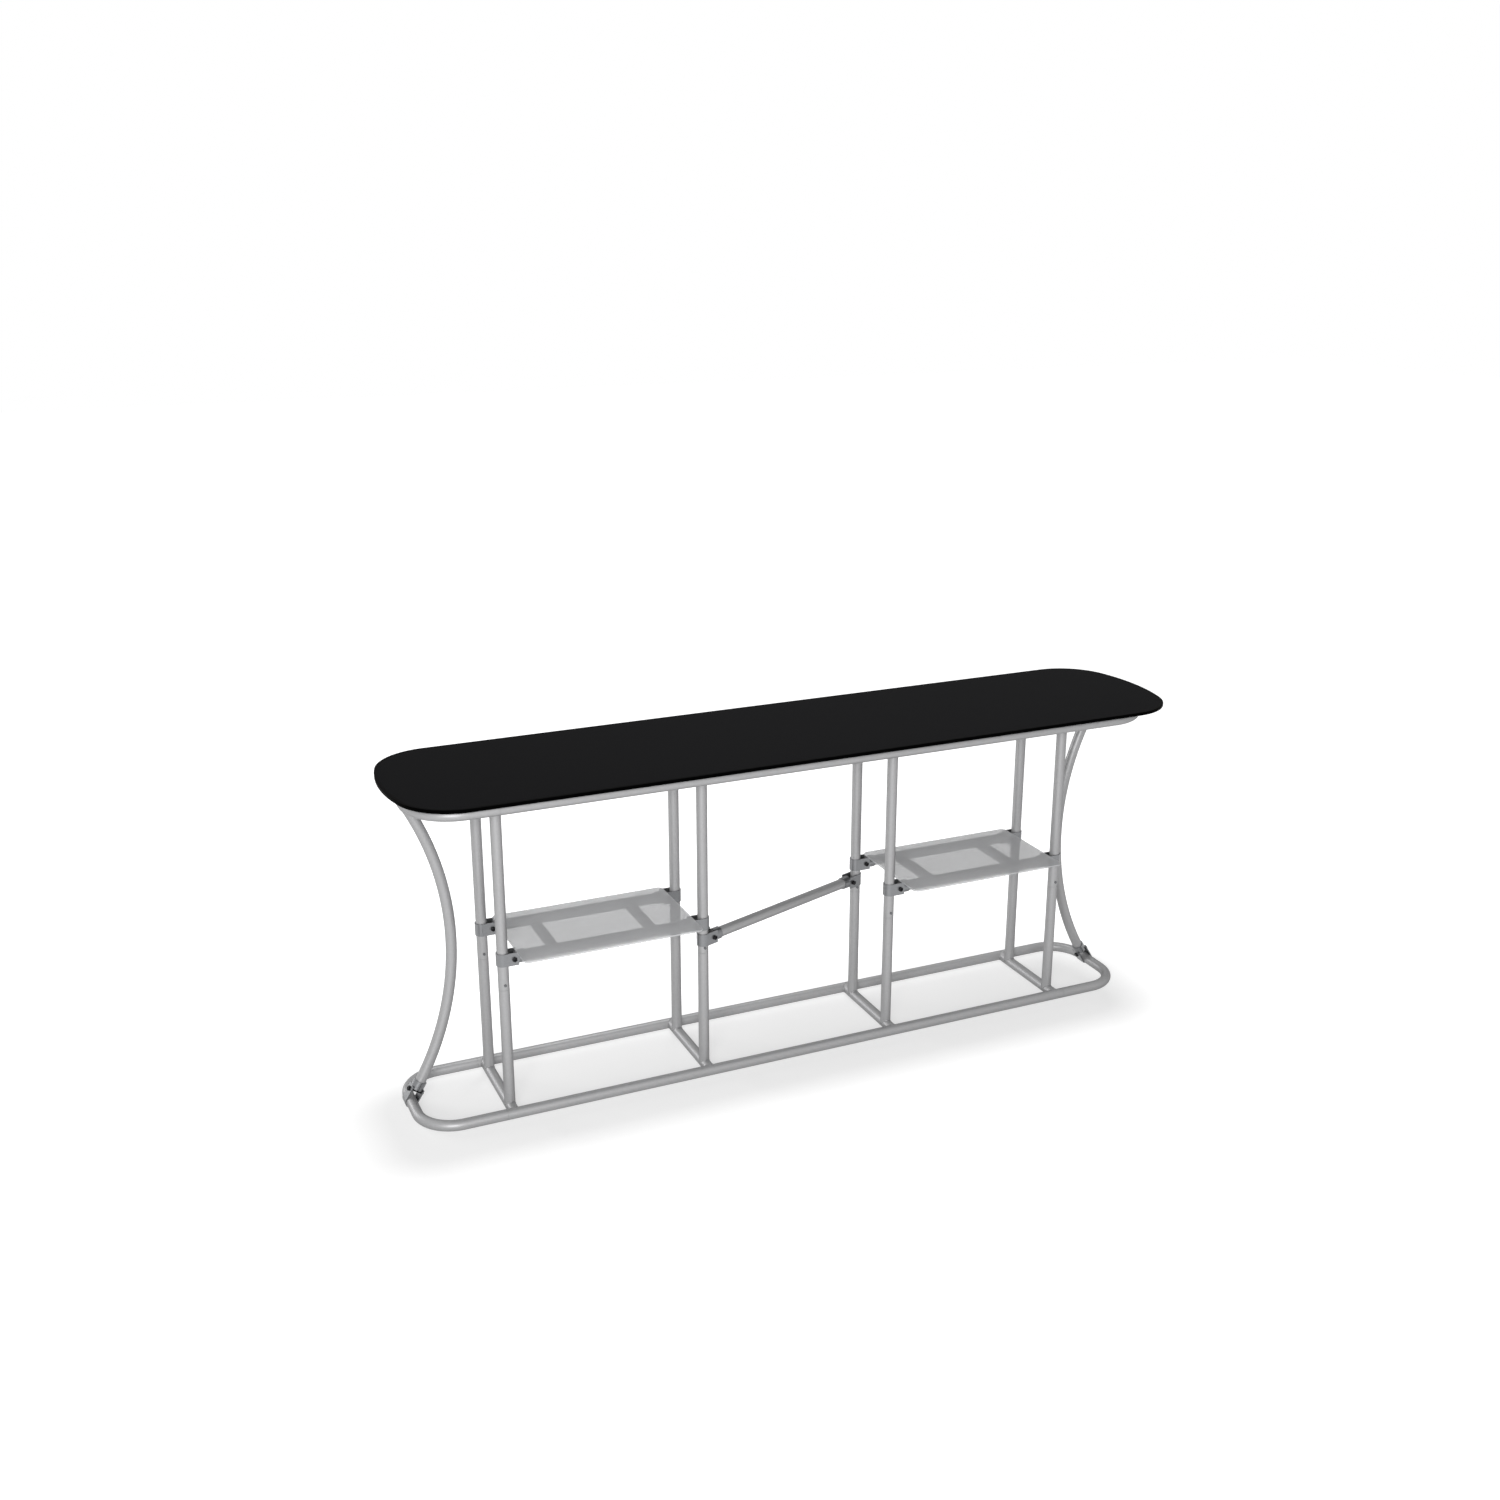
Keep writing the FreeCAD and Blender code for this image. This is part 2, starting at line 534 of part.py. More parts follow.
def strut_arc(name, sign, walls):
    """An arc of round section between the rings, bowed towards the counter's middle."""
    centre = f"({FRAME_X} + {sign} * {STRUT_CENTRE})"
    body = new_body(name, UPRIGHT, (centre, "sizes.strut_offset", "sizes.strut_waist_height"))
    section = sketch_on(body, f"{name}_section", "XY_Plane")
    for radius in walls:
        draw_circle(section, (f"{-sign} * sizes.strut_radius", "0"), radius)
    arc = body.newObject("PartDesign::Revolution", f"{name}_arc")
    arc.Profile = section
    arc.ReferenceAxis = (section, ["V_Axis"])
    arc.Type = "TwoAngles"
    first, last = (STRUT_RISE, STRUT_FALL) if sign < 0 else (STRUT_FALL, STRUT_RISE)
    arc.setExpression("Angle", f"asin({last} / sizes.strut_radius)")
    arc.setExpression("Angle2", f"asin({first} / sizes.strut_radius)")
    return body


def make_struts():
    """Concave end struts: an arc of tube from the base clamp up to the end of the top ring."""
    foot_radius = f"sqrt((sizes.clamp_bolt_distance + sizes.bolt_diameter) ^ 2 + ({TUBE_R}) ^ 2)"
    width = "2 * sizes.clamp_reach"
    for end, sign in (("left", -1), ("right", 1)):
        name = f"strut_{end}"
        top_x = f"({FRAME_X} + {sign} * {TOP_END})"
        base_x = f"({FRAME_X} + {sign} * {BASE_END})"
        y = "sizes.strut_offset - sizes.clamp_reach"
        cope = rod(f"{name}_cope", ALONG_Y, (top_x, y, TOP_Z), COPE_R, width)
        foot = rod(f"{name}_foot", ALONG_Y, (base_x, y, BASE_Z), foot_radius, width)
        ends = fuse(f"{name}_ends", [cope, foot])
        arc = strut_arc(name, sign, (TUBE_R, BORE_R))
        keep(f"end_strut_{end}", cut(f"{name}_finished", arc, ends))


def make_shelves():
    """Two rails and two cross bars a shelf, with a clear sheet lying on the clamps."""
    for shelf, first, last in (("left", 0, 1), ("right", 2, 3)):
        start = f"({POST_X[first]} + sizes.tube_end_distance)"
        length = f"{POST_X[last]} - sizes.tube_end_distance - {start}"
        for side, sign in SIDES:
            at = (start, f"{sign} * {POST_Y}", "sizes.shelf_height")
            keep(f"shelf_rail_{shelf}_{side}", tube(f"rail_{shelf}_{side}", ALONG_X, at, length))
        middle = f"(({POST_X[first]} + {POST_X[last]}) / 2)"
        for end, way in (("a", -1), ("b", 1)):
            x = f"({middle} + {way} * sizes.shelf_bar_spacing / 2)"
            bar = cross_tube(f"bar_{shelf}_{end}", x, POST_Y, "sizes.shelf_height")
            keep(f"shelf_bar_{shelf}_{end}", bar)
        keep(f"shelf_sheet_{shelf}", shelf_sheet(f"sheet_{shelf}", POST_X[first], POST_X[last]))


def shelf_sheet(name, first_x, last_x):
    body = new_body(name, UPRIGHT, ("0", "0", SHEET_Z))
    left = f"({first_x} + sizes.sheet_post_gap)"
    right = f"({last_x} - sizes.sheet_post_gap)"
    front = f"(-{POST_Y} - sizes.sheet_front_overhang)"
    back = f"({POST_Y} + sizes.sheet_back_overhang)"
    turn = "sizes.sheet_corner_radius"
    plan = sketch_on(body, f"{name}_plan", "XY_Plane")
    draw(plan, [(f"{left} + {turn}", front), (f"{right} - {turn}", front), (right, f"{front} + {turn}"),
                (right, f"{back} - {turn}"), (f"{right} - {turn}", back), (f"{left} + {turn}", back),
                (left, f"{back} - {turn}"), (left, f"{front} + {turn}")],
         {1: (turn, 1), 3: (turn, 1), 5: (turn, 1), 7: (turn, 1)})
    pad(body, f"{name}_plate", plan, "sizes.sheet_thickness")
    return body


def make_brace():
    """A level tube from the second front post to the third back post."""
    span = "sqrt(sizes.post_depth ^ 2 + (2 * sizes.inner_post_distance) ^ 2)"
    length = f"({span} - 2 * sizes.tube_end_distance)"
    angle = number("atan2(sizes.post_depth; 2 * sizes.inner_post_distance)")
    turned = FreeCAD.Rotation(FreeCAD.Vector(0, 0, 1), angle) * ALONG_X
    share = f"(0.5 - sizes.tube_end_distance / {span})"
    at = (f"{FRAME_X} - 2 * sizes.inner_post_distance * {share}", f"-sizes.post_depth * {share}",
          "sizes.brace_height")
    keep("brace_tube", tube("brace", turned, at, length))


def make_board():
    """The countertop: bowed ends run into round corners and straight long sides."""
    body = new_body("board", UPRIGHT, ("0", "0", BOARD_UNDER))
    half_length = "sizes.board_length / 2"
    half_width = "sizes.board_width / 2"
    end_r = "sizes.board_end_radius"
    corner_r = "sizes.board_corner_radius"
    end_x = f"({half_length} - {end_r})"
    rise = f"({half_width} - {corner_r})"
    reach = f"sqrt(({end_r} - {corner_r}) ^ 2 - {rise} ^ 2)"
    corner_x = f"({end_x} + {reach})"
    meet_x = f"({end_x} + {reach} * {end_r} / ({end_r} - {corner_r}))"
    meet_y = f"({rise} * {end_r} / ({end_r} - {corner_r}))"
    plan = sketch_on(body, "board_plan", "XY_Plane")
    draw(plan, [(f"-{corner_x}", f"-{half_width}"), (corner_x, f"-{half_width}"), (meet_x, f"-{meet_y}"),
                (meet_x, meet_y), (corner_x, half_width), (f"-{corner_x}", half_width),
                (f"-{meet_x}", meet_y), (f"-{meet_x}", f"-{meet_y}")],
         {1: (corner_r, 1), 2: (end_r, 1), 3: (corner_r, 1), 5: (corner_r, 1), 6: (end_r, 1),
          7: (corner_r, 1)})
    slab = pad(body, "board_slab", plan, "sizes.board_thickness")
    doc.recompute()
    eased = body.newObject("PartDesign::Fillet", "board_eased")
    flat = [f"Face{k}" for k, face in enumerate(slab.Shape.Faces, start=1)
            if abs(face.normalAt(0, 0).z) > 0.9]
    eased.Base = (slab, flat)
    eased.setExpression("Radius", "sizes.board_edge_round")
    body.Tip = eased
    keep("countertop", body)


def make_locating_blocks():
    """Blocks screwed under the board that keep it from sliding on the top ring."""
    inner_face = f"({TOP_Y} - {TUBE_R} - sizes.block_gap)"
    blocks = []
    screws = []
    for side, sign in SIDES:
        for k in (-1, 0, 1):
            name = f"block_{side}_{k + 2}"
            x = f"{FRAME_X} + {k} * sizes.block_spacing"
            y = f"{sign} * ({inner_face} - sizes.block_width / 2)"
            under = f"{BOARD_UNDER} - sizes.block_height"
            body = new_body(name, UPRIGHT, (x, y, under))
            plan = sketch_on(body, f"{name}_plan", "XY_Plane")
            half_x = "sizes.block_length / 2"
            half_y = "sizes.block_width / 2"
            turn = "sizes.block_edge_round"
            draw(plan, [(f"{turn} - {half_x}", f"-{half_y}"), (f"{half_x} - {turn}", f"-{half_y}"),
                        (half_x, f"{turn} - {half_y}"), (half_x, f"{half_y} - {turn}"),
                        (f"{half_x} - {turn}", half_y), (f"{turn} - {half_x}", half_y),
                        (f"-{half_x}", f"{half_y} - {turn}"), (f"-{half_x}", f"{turn} - {half_y}")],
                 {1: (turn, 1), 3: (turn, 1), 5: (turn, 1), 7: (turn, 1)})
            for way in (-1, 1):
                draw_circle(plan, (f"{way} * sizes.screw_spacing / 2", "0"), "sizes.screw_diameter / 2")
            pad(body, f"{name}_pad", plan, "sizes.block_height")
            blocks.append(body)
            for way in (-1, 1):
                at = (f"{x} + {way} * sizes.screw_spacing / 2", y)
                head = add("Part::Cone", f"{name}_head_{way + 2}", UPRIGHT,
                           (*at, f"{under} - sizes.screw_diameter / 2"),
                           Radius1="sizes.screw_head_diameter / 2", Radius2="sizes.screw_diameter / 2",
                           Height="sizes.screw_diameter / 2")
                shank = rod(f"{name}_shank_{way + 2}", UPRIGHT, (*at, under), "sizes.screw_diameter / 2",
                            "sizes.block_height")
                screws.append(fuse(f"{name}_screw_{way + 2}", [head, shank]))
    keep("locating_blocks", group("block_group", blocks))
    keep("block_screws", group("block_screw_group", screws))


def check_and_write():
    doc.recompute()
    for item in doc.Objects:
        if "Invalid" in item.State or "Error" in item.State:
            raise RuntimeError(f"{item.Label} failed: {item.State}")
    for label, item in nodes.items():
        if item.Shape.isNull() or not item.Shape.isValid():
            raise RuntimeError(f"{label} has no valid shape")
    os.makedirs("parts", exist_ok=True)
    for label, item in nodes.items():
        item.Shape.exportStep(f"parts/{label}.step")
    solids = sum(len(item.Shape.Solids) for item in nodes.values())
    print(f"{len(nodes)} nodes, {solids} solids")


make_rings()
make_ring_spigots()
make_lower_frames()
make_upper_frames()
make_snap_buttons()
make_struts()
make_shelves()
make_brace()
make_clamps()
make_board()
make_locating_blocks()
check_and_write()
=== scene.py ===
import math
import bpy
from mathutils import Matrix, Vector


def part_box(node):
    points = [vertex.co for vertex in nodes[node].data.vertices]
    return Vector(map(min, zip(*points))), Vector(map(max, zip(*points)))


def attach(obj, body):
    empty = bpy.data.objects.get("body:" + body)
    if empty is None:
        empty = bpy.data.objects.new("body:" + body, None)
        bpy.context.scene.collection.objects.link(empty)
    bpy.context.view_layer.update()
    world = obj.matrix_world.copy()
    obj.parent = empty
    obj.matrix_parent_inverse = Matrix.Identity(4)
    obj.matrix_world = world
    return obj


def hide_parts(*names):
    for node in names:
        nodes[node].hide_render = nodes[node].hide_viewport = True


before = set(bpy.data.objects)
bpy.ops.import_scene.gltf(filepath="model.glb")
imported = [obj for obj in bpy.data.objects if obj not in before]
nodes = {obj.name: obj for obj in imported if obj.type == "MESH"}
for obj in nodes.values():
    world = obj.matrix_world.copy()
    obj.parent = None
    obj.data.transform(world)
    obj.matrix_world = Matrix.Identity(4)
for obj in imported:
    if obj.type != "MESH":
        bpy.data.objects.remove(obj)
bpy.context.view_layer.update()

scene = bpy.context.scene
scene.view_settings.view_transform = "Standard"

# Camera
# A wide studio lens a little above head height, in front of the left third of the counter.
# It looks down on the board, so that the shelves show under its front edge.
CAMERA_PLACE = (-2.00767, -4.18093, 2.45316)
CAMERA_YAW = 24.016
CAMERA_PITCH = 18.122
LENS_MM = 38.851
SENSOR_MM = 36.0
camera_data = bpy.data.cameras.new("camera")
camera_data.sensor_width = SENSOR_MM
camera_data.lens = LENS_MM
camera = bpy.data.objects.new("camera", camera_data)
camera.location = CAMERA_PLACE
camera.rotation_euler = (math.radians(90 - CAMERA_PITCH), 0, math.radians(-CAMERA_YAW))
scene.collection.objects.link(camera)
scene.camera = camera

# Floor and light
# White studio paper, lit by a box overhead, a large one at the front left and one at the back left.
# What the lens and polished metal see of it glows plain white, but under the counter that glow is lowered
# in a painted shadow, pale grey: a patch with round corners, which fades to white at its edges. The lamps'
# own soft shadows fall on the paper as well.
FLOOR_SIZE = 40.0
FLOOR_DROP = 0.0005
# glow inside the painted shadow under the counter; past its edges the glow rises to 1, plain white
PAINTED_SHADOW_GLOW = 0.61
FLOOR_GREY = 0.40
SHADE_MIDDLE = (-0.115, -0.10, 0.0)
SHADE_HALF = (1.075, 0.10, 0.0)
FADE_START = 0.10
FADE_END = 0.36
SKY_LIGHT = 0.22
WHITE = (1, 1, 1, 1)
LAMP_AIM = Vector((0, 0, 0.5))
LAMPS = (  # name, place, side in metres, watts
    ("overhead_box", (0.3, 0.5, 4.2), 1.3, 125.0),
    ("front_box", (-3.0, -5.6, 2.3), 2.8, 300.0),
    ("back_box", (-4.4, 4.6, 2.2), 2.6, 120.0),
)


def put(tree, kind, settings=None, **inputs):
    """Adds a shader node. An input, by name or as i and its number, is a value or an output socket."""
    made = tree.nodes.new(kind)
    for name, value in (settings or {}).items():
        setattr(made, name, value)
    for name, value in inputs.items():
        key = int(name[1:]) if name[0] == "i" and name[1:].isdigit() else name.replace("_", " ")
        socket = made.inputs[key]
        if isinstance(value, bpy.types.NodeSocket):
            tree.links.new(value, socket)
        else:
            socket.default_value = value
    return made


def seen_directly(tree):
    """1 where the lens, a mirror or something clear looks at the surface, 0 where it only gives light."""
    path = put(tree, "ShaderNodeLightPath")
    seen = put(tree, "ShaderNodeMath", {"operation": "MAXIMUM"}, i0=path.outputs["Is Camera Ray"],
               i1=path.outputs["Is Glossy Ray"])
    seen = put(tree, "ShaderNodeMath", {"operation": "MAXIMUM"}, i0=seen.outputs[0],
               i1=path.outputs["Is Transmission Ray"])
    return seen.outputs[0]


bpy.ops.object.select_all(action="DESELECT")
bpy.ops.mesh.primitive_plane_add(size=FLOOR_SIZE, location=(0, 0, -FLOOR_DROP))
floor = bpy.context.object
floor.name = "floor"
paper = bpy.data.materials.new("white_paper_painted_shadow")
paper.use_nodes = True
tree = paper.node_tree
tree.nodes.clear()
# Painted shadow: the glow is lowest in a round-cornered patch under the counter and rises to white past its
# edges.
place = put(tree, "ShaderNodeTexCoord")
offset = put(tree, "ShaderNodeVectorMath", {"operation": "SUBTRACT"}, i0=place.outputs["Object"],
             i1=SHADE_MIDDLE)
sides = put(tree, "ShaderNodeVectorMath", {"operation": "ABSOLUTE"}, i0=offset.outputs[0])
past = put(tree, "ShaderNodeVectorMath", {"operation": "SUBTRACT"}, i0=sides.outputs[0], i1=SHADE_HALF)
outside = put(tree, "ShaderNodeVectorMath", {"operation": "MAXIMUM"}, i0=past.outputs[0], i1=(0, 0, 0))
distance = put(tree, "ShaderNodeVectorMath", {"operation": "LENGTH"}, i0=outside.outputs[0])
painted_shadow_fade = put(tree, "ShaderNodeMapRange", Value=distance.outputs["Value"], From_Min=FADE_START,
           From_Max=FADE_END, To_Min=PAINTED_SHADOW_GLOW, To_Max=1.0)
glow_level = put(tree, "ShaderNodeMath", {"operation": "MULTIPLY"}, i0=seen_directly(tree),
                 i1=painted_shadow_fade.outputs[0])
glow = put(tree, "ShaderNodeEmission", Color=WHITE, Strength=glow_level.outputs[0])
matt = put(tree, "ShaderNodeBsdfDiffuse", Color=(FLOOR_GREY, FLOOR_GREY, FLOOR_GREY, 1))
both = put(tree, "ShaderNodeAddShader", i0=glow.outputs[0], i1=matt.outputs[0])
put(tree, "ShaderNodeOutputMaterial", Surface=both.outputs[0])
floor.data.materials.append(paper)

world = bpy.data.worlds.new("studio")
scene.world = world
world.use_nodes = True
tree = world.node_tree
tree.nodes.clear()
level = put(tree, "ShaderNodeMapRange", Value=seen_directly(tree), To_Min=SKY_LIGHT, To_Max=1.0)
sky = put(tree, "ShaderNodeBackground", Color=WHITE, Strength=level.outputs[0])
put(tree, "ShaderNodeOutputWorld", Surface=sky.outputs[0])

for name, spot, side, power in LAMPS:
    lamp_data = bpy.data.lights.new(name, "AREA")
    lamp_data.size = side
    lamp_data.energy = power
    lamp = bpy.data.objects.new(name, lamp_data)
    lamp.location = spot
    lamp.rotation_euler = (LAMP_AIM - Vector(spot)).to_track_quat("-Z", "Y").to_euler()
    scene.collection.objects.link(lamp)

# Frame tubes
# Extruded aluminium tube, 32 mm across, cut, bent and coped, then tumbled and clear anodised. That
# leaves a light satin grey with a soft sheen, faint clouds and no grain lines. The rings, post frames
# and struts plug, clamp or weld together, and the sleeves inside the seams are the same metal.
TUBE_CLOUDS = 160.0  # per metre: clouds about 6 mm across
TUBE_GRIT = 900.0  # per metre: tumbling marks of 0.2 mm, drawn 1 mm across so that they show
TUBE_MIRROR = 0.35  # the anodic film hides most of the metal's mirror


def linear(hex_colour):
    """An sRGB hex colour as linear red, green, blue and full alpha."""
    channels = [int(hex_colour[k:k + 2], 16) / 255 for k in (1, 3, 5)]
    bent = [c / 12.92 if c <= 0.04045 else ((c + 0.055) / 1.055) ** 2.4 for c in channels]
    return (*bent, 1.0)


def mottled(name, per_metre, detail, dark, light, smooth, rough):
    """A finish whose colour and roughness follow the same fine mottle; gives it, its shader and mottle."""
    made = bpy.data.materials.new(name)
    made.use_nodes = True
    tree = made.node_tree
    tree.nodes.clear()
    place = put(tree, "ShaderNodeTexCoord")
    mottle = put(tree, "ShaderNodeTexNoise", Vector=place.outputs["Object"], Scale=per_metre,
                 Detail=detail)
    tint = put(tree, "ShaderNodeMix", {"data_type": "RGBA"}, Factor=mottle.outputs["Fac"],
               i6=linear(dark), i7=linear(light))
    haze = put(tree, "ShaderNodeMapRange", Value=mottle.outputs["Fac"], To_Min=smooth, To_Max=rough)
    shader = put(tree, "ShaderNodeBsdfPrincipled", Base_Color=tint.outputs[2], Roughness=haze.outputs[0])
    put(tree, "ShaderNodeOutputMaterial", Surface=shader.outputs[0])
    return made, shader, mottle


def coat(material, *pieces):
    """Gives the material to pieces."""
    for piece in pieces:
        piece.data.materials.clear()
        piece.data.materials.append(material)


def named(*starts):
    """The CAD nodes whose names begin with one of the words."""
    return [node for name, node in nodes.items() if name.startswith(starts)]


satin, shader, mottle = mottled("anodised_aluminium", TUBE_CLOUDS, 4.0, "#A5A5A6", "#B2B2B3", 0.40, 0.50)
shader.inputs["Metallic"].default_value = TUBE_MIRROR
shader.inputs["Specular IOR Level"].default_value = 0.1
shader.inputs["Specular Tint"].default_value = (0.2, 0.2, 0.2, 1.0)
tree = satin.node_tree
place = put(tree, "ShaderNodeTexCoord")
grit = put(tree, "ShaderNodeTexNoise", Vector=place.outputs["Object"], Scale=TUBE_GRIT, Detail=2.0)
grain = put(tree, "ShaderNodeBump", Strength=0.04, Distance=0.0004, Height=grit.outputs["Fac"])
tree.links.new(grain.outputs[0], shader.inputs["Normal"])
coat(satin, *named("base_", "top_", "lower_frame", "upper_frame", "end_strut", "shelf_rail", "shelf_bar",
                   "brace_tube", "ring_spigots"))

# Weld beads
# Aluminium filler laid by hand round every coped tube end: posts on cross tubes, cross tubes on rails
# and shelf bars on shelf rails. The bead is left as welded, a row of flat ripples about 2 mm apart,
# and filed flush where the base ring stands on the floor.
TUBE_RADIUS = 0.016
POST_OUT = 0.113  # from the counter's middle plane to the post axes
BEAD_RADIUS = 0.0014
RIPPLES = 50
RIPPLE_CREST = 1.1
RIPPLE_TROUGH = 0.8
WELD_SCALE = 500.0  # per metre: heat marks about 2 mm across
ALONG_Y = Matrix.Rotation(math.radians(90), 4, "Z")
UPSIDE_DOWN = Matrix.Rotation(math.radians(180), 4, "X")
TOWARDS_BACK = Matrix.Rotation(math.radians(-90), 4, "X")
TOWARDS_FRONT = Matrix.Rotation(math.radians(90), 4, "X")
LEVELS = (("lower_frame", "base_rail", Matrix()), ("upper_frame", "top_rail", UPSIDE_DOWN))
POST_SIDES = (("front", -POST_OUT, TOWARDS_BACK), ("back", POST_OUT, TOWARDS_FRONT))


def middle(node):
    """The middle of a CAD node's box."""
    low, high = (Vector(corner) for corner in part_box(node))
    return (low + high) / 2


bpy.ops.object.select_all(action="DESELECT")
bpy.ops.mesh.primitive_circle_add(vertices=2 * RIPPLES, radius=TUBE_RADIUS)
bead = bpy.context.object
# Two equal tubes that cross at a right angle meet on this saddle line.
for corner in bead.data.vertices:
    corner.co.z = abs(corner.co.x)
bpy.ops.object.convert(target="CURVE")
for count, point in enumerate(bead.data.splines[0].points):
    point.radius = RIPPLE_CREST if count % 2 else RIPPLE_TROUGH
bead.data.bevel_depth = BEAD_RADIUS
bead.data.bevel_resolution = 1
bpy.ops.object.convert(target="MESH")
bpy.ops.object.shade_smooth()

turns = []
for number in range(1, 5):
    for frame_part, ring, turn in LEVELS:
        post_x = middle(f"{frame_part}_{number}").x
        for side, post_y, inwards in POST_SIDES:
            rail = middle(f"{ring}_{side}")
            turns.append(Matrix.Translation((post_x, post_y, rail.z)) @ turn @ ALONG_Y)
            turns.append(Matrix.Translation((post_x, rail.y, rail.z)) @ inwards)
for shelf in ("left", "right"):
    for letter in ("a", "b"):
        bar = middle(f"shelf_bar_{shelf}_{letter}")
        for side, post_y, inwards in POST_SIDES:
            rail = middle(f"shelf_rail_{shelf}_{side}")
            turns.append(Matrix.Translation((bar.x, rail.y, rail.z)) @ inwards)
bpy.ops.object.select_all(action="DESELECT")
for turn in turns:
    copy = bpy.data.objects.new("weld_bead_copy", bead.data.copy())
    copy.data.transform(turn)
    scene.collection.objects.link(copy)
    copy.select_set(True)
bpy.context.view_layer.objects.active = copy
bpy.data.objects.remove(bead)
bpy.ops.object.join()
beads = bpy.context.object
beads.name = "weld_beads"
for corner in beads.data.vertices:
    corner.co.z = max(corner.co.z, 0.0)
filler, shader, mottle = mottled("as_welded_aluminium", WELD_SCALE, 2.0, "#8E8E8F", "#A8A8A9", 0.34, 0.52)
shader.inputs["Metallic"].default_value = 0.7
coat(filler, beads)
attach(beads, "frame")

# Countertop
# Medium-density board, 10 mm, faced on both sides in black pearl-finish melamine and laid loose on the
# top ring. Black blocks, screwed on below, keep it there. The fine pebbled face is nearly matt.
PEARL_PEBBLES = 420.0  # per metre: pebbles of 0.5 mm, drawn 2 mm across so that they show
melamine, shader, mottle = mottled("black_pearl_melamine", PEARL_PEBBLES, 3.0, "#070708", "#0C0C0D",
                                   0.52, 0.66)
shader.inputs["Specular IOR Level"].default_value = 0.008
tree = melamine.node_tree
pebble = put(tree, "ShaderNodeBump", Strength=0.10, Distance=0.0006, Height=mottle.outputs["Fac"])
tree.links.new(pebble.outputs[0], shader.inputs["Normal"])
coat(melamine, *named("countertop", "locating_blocks"))

# Edge lipping
# Black ABS lipping glued round the edge of the board, trimmed flush with a narrow margin on both faces.
# It is darker and smoother than the melamine, so it draws a line round the top.
LIP_MARGIN = 0.008
LIP_PROUD = 0.0002
LIP_SMOOTH_ANGLE = math.radians(40)
LIP_SKIN = 260.0  # per metre: extrusion haze in patches about 4 mm across
WELD_TOGETHER = 0.00001


def copy_of(node, name):
    """A separate copy of a CAD node's mesh, welded together, as the active object in edit mode."""
    bpy.ops.object.select_all(action="DESELECT")
    made = bpy.data.objects.new(name, nodes[node].data.copy())
    scene.collection.objects.link(made)
    bpy.context.view_layer.objects.active = made
    made.select_set(True)
    bpy.ops.object.mode_set(mode="EDIT")
    bpy.ops.mesh.select_all(action="SELECT")
    bpy.ops.mesh.remove_doubles(threshold=WELD_TOGETHER)
    return made


def pick_faces(piece, test):
    """Selects the faces of a piece in edit mode that pass a test."""
    bpy.ops.mesh.select_mode(type="FACE")
    bpy.ops.mesh.select_all(action="DESELECT")
    bpy.ops.object.mode_set(mode="OBJECT")
    for face in piece.data.polygons:
        face.select = test(face)
    bpy.ops.object.mode_set(mode="EDIT")


lipping = copy_of("countertop", "edge_lipping")
pick_faces(lipping, lambda face: abs(face.normal.z) > 0.9999)
bpy.ops.mesh.dissolve_faces()
bpy.ops.mesh.inset(thickness=LIP_MARGIN, depth=0.0)
bpy.ops.mesh.delete(type="FACE")
bpy.ops.mesh.select_all(action="SELECT")
bpy.ops.transform.shrink_fatten(value=LIP_PROUD)
bpy.ops.object.mode_set(mode="OBJECT")
wall = lipping.modifiers.new("wall", "SOLIDIFY")
wall.thickness = LIP_PROUD / 2
wall.offset = -1.0
bpy.ops.object.modifier_apply(modifier="wall")
bpy.ops.object.shade_smooth_by_angle(angle=LIP_SMOOTH_ANGLE)
abs_black, shader, mottle = mottled("black_abs_lipping", LIP_SKIN, 2.0, "#010101", "#030303", 0.38, 0.50)
shader.inputs["Specular IOR Level"].default_value = 0.005
coat(abs_black, lipping)
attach(lipping, "top")

# Shelf sheets
# Cut acrylic, 5 mm, tinted a cool translucent grey with a fine satin face: the rails show through it.
# Each sheet lies loose on its four clamps. Light passes both faces, so each face takes part of it.
SHEET_CLOUDS = 40.0  # per metre: casting clouds about 25 mm across
ACRYLIC_IOR = 1.49
FACE_COVER = 0.62  # share of the light that one face holds back
acrylic, shader, mottle = mottled("satin_grey_acrylic", SHEET_CLOUDS, 3.0, "#DADBDD", "#E3E4E6", 0.30, 0.40)
shader.inputs["Alpha"].default_value = FACE_COVER
shader.inputs["IOR"].default_value = ACRYLIC_IOR
coat(acrylic, *named("shelf_sheet"))

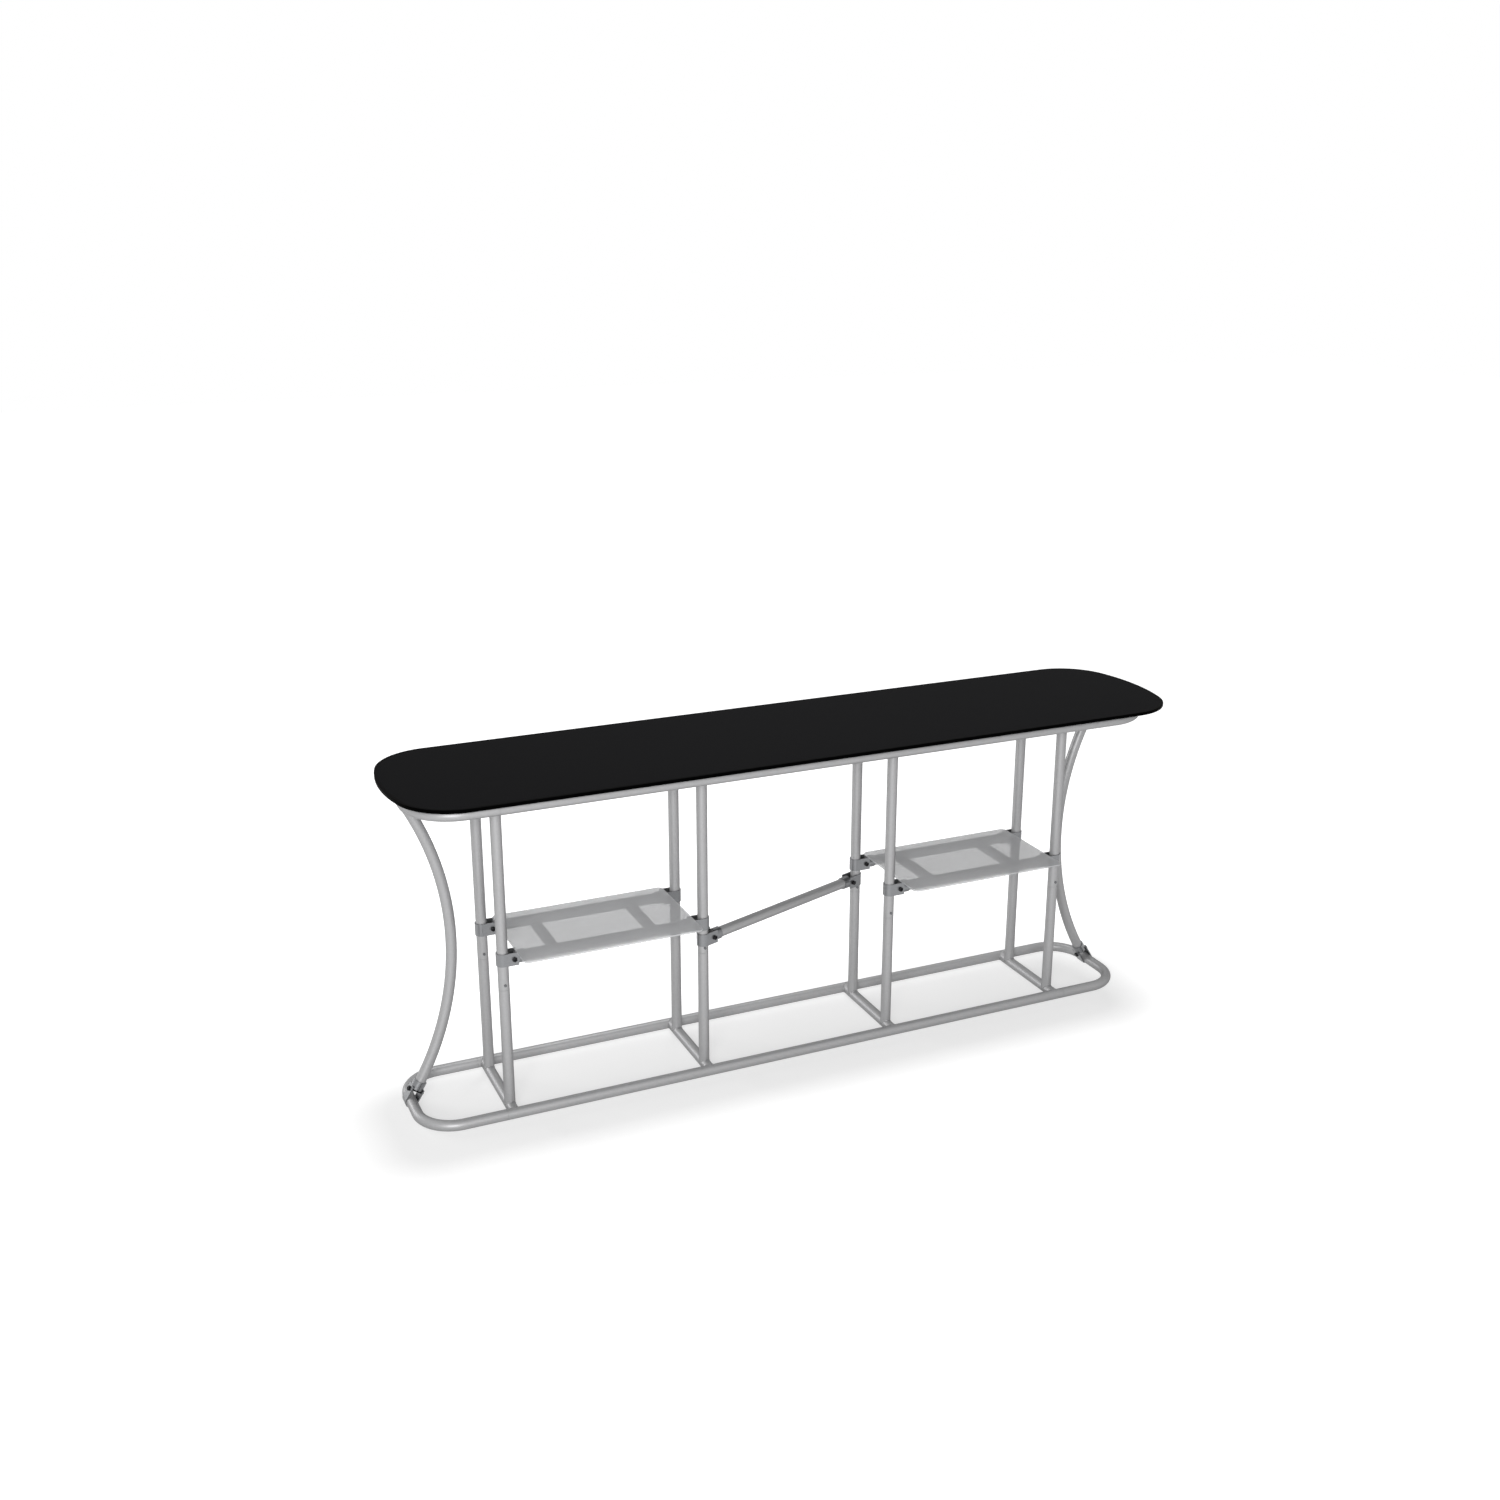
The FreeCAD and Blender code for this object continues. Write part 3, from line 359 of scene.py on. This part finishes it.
# Clamps
# Two-jaw tube clamps in die-cast zinc: half a sleeve, a flat cheek and half a collar in each jaw, pulled
# together on the tubes by one bolt. Shot blasted and lacquered grey, so darker and rougher than the tubes.
SHOT_MARKS = 700.0  # per metre: marks of 0.4 mm, drawn about 1.4 mm across so that they show
zinc, shader, mottle = mottled("blasted_zinc", SHOT_MARKS, 3.0, "#727375", "#8B8C8E", 0.30, 0.44)
shader.inputs["Metallic"].default_value = 0.85
tree = zinc.node_tree
blast = put(tree, "ShaderNodeBump", Strength=0.22, Distance=0.0005, Height=mottle.outputs["Fac"])
tree.links.new(blast.outputs[0], shader.inputs["Normal"])
coat(zinc, *named("shelf_clamp", "brace_clamp", "strut_clamp"))

# Clamp bolts and nuts
# Cold-forged steel in oiled black oxide, half matt. The head has chamfered corners round a deep hexagon
# socket. Bolt and nut pull the two jaws of a clamp together.
HEAD_FLATS = 0.013
HEAD_AREA = HEAD_FLATS ** 2 * math.sqrt(3) / 2
AREA_SLACK = 0.02
FLAT_ANGLE = math.radians(0.5)
CHAMFER_IN = 0.0009
CHAMFER_RISE = 0.0006
RIM_WIDTH = 0.0022
SOCKET_TAPER = 0.0002
SOCKET_DEPTH = 0.0032
OIL_STAINS = 500.0  # per metre: stains about 2 mm across
oxide, shader, mottle = mottled("black_oxide_steel", OIL_STAINS, 2.0, "#1A1A1B", "#2A2A2C", 0.38, 0.55)
shader.inputs["Metallic"].default_value = 0.8
coat(oxide, *named("clamp_bolts", "clamp_nuts"))
bolts = copy_of("clamp_bolts", "socket_bolts")
bpy.ops.mesh.dissolve_limited(angle_limit=FLAT_ANGLE)
pick_faces(bolts, lambda face: len(face.vertices) == 6 and abs(face.area / HEAD_AREA - 1) < AREA_SLACK)
bpy.ops.mesh.inset(thickness=CHAMFER_IN, depth=CHAMFER_RISE, use_individual=True)
bpy.ops.mesh.inset(thickness=RIM_WIDTH, depth=0.0, use_individual=True)
bpy.ops.mesh.inset(thickness=SOCKET_TAPER, depth=-SOCKET_DEPTH, use_individual=True)
bpy.ops.object.mode_set(mode="OBJECT")
coat(oxide, bolts)
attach(bolts, "frame")
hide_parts("clamp_bolts")

# Snap buttons and block screws
# A snap button is a turned steel pin with a domed tip, riveted to a spring leaf inside the post, and a
# thumb presses it in to part the post. Thumbs and the post's rim keep it a duller grey than the tubes.
# The wood screws in the locating blocks are plain steel too.
RUB_MARKS = 600.0  # per metre: marks about 1.7 mm across
steel, shader, mottle = mottled("worn_spring_steel", RUB_MARKS, 2.0, "#58595B", "#757678", 0.25, 0.42)
shader.inputs["Metallic"].default_value = 1.0
coat(steel, *named("snap_button", "block_screws"))
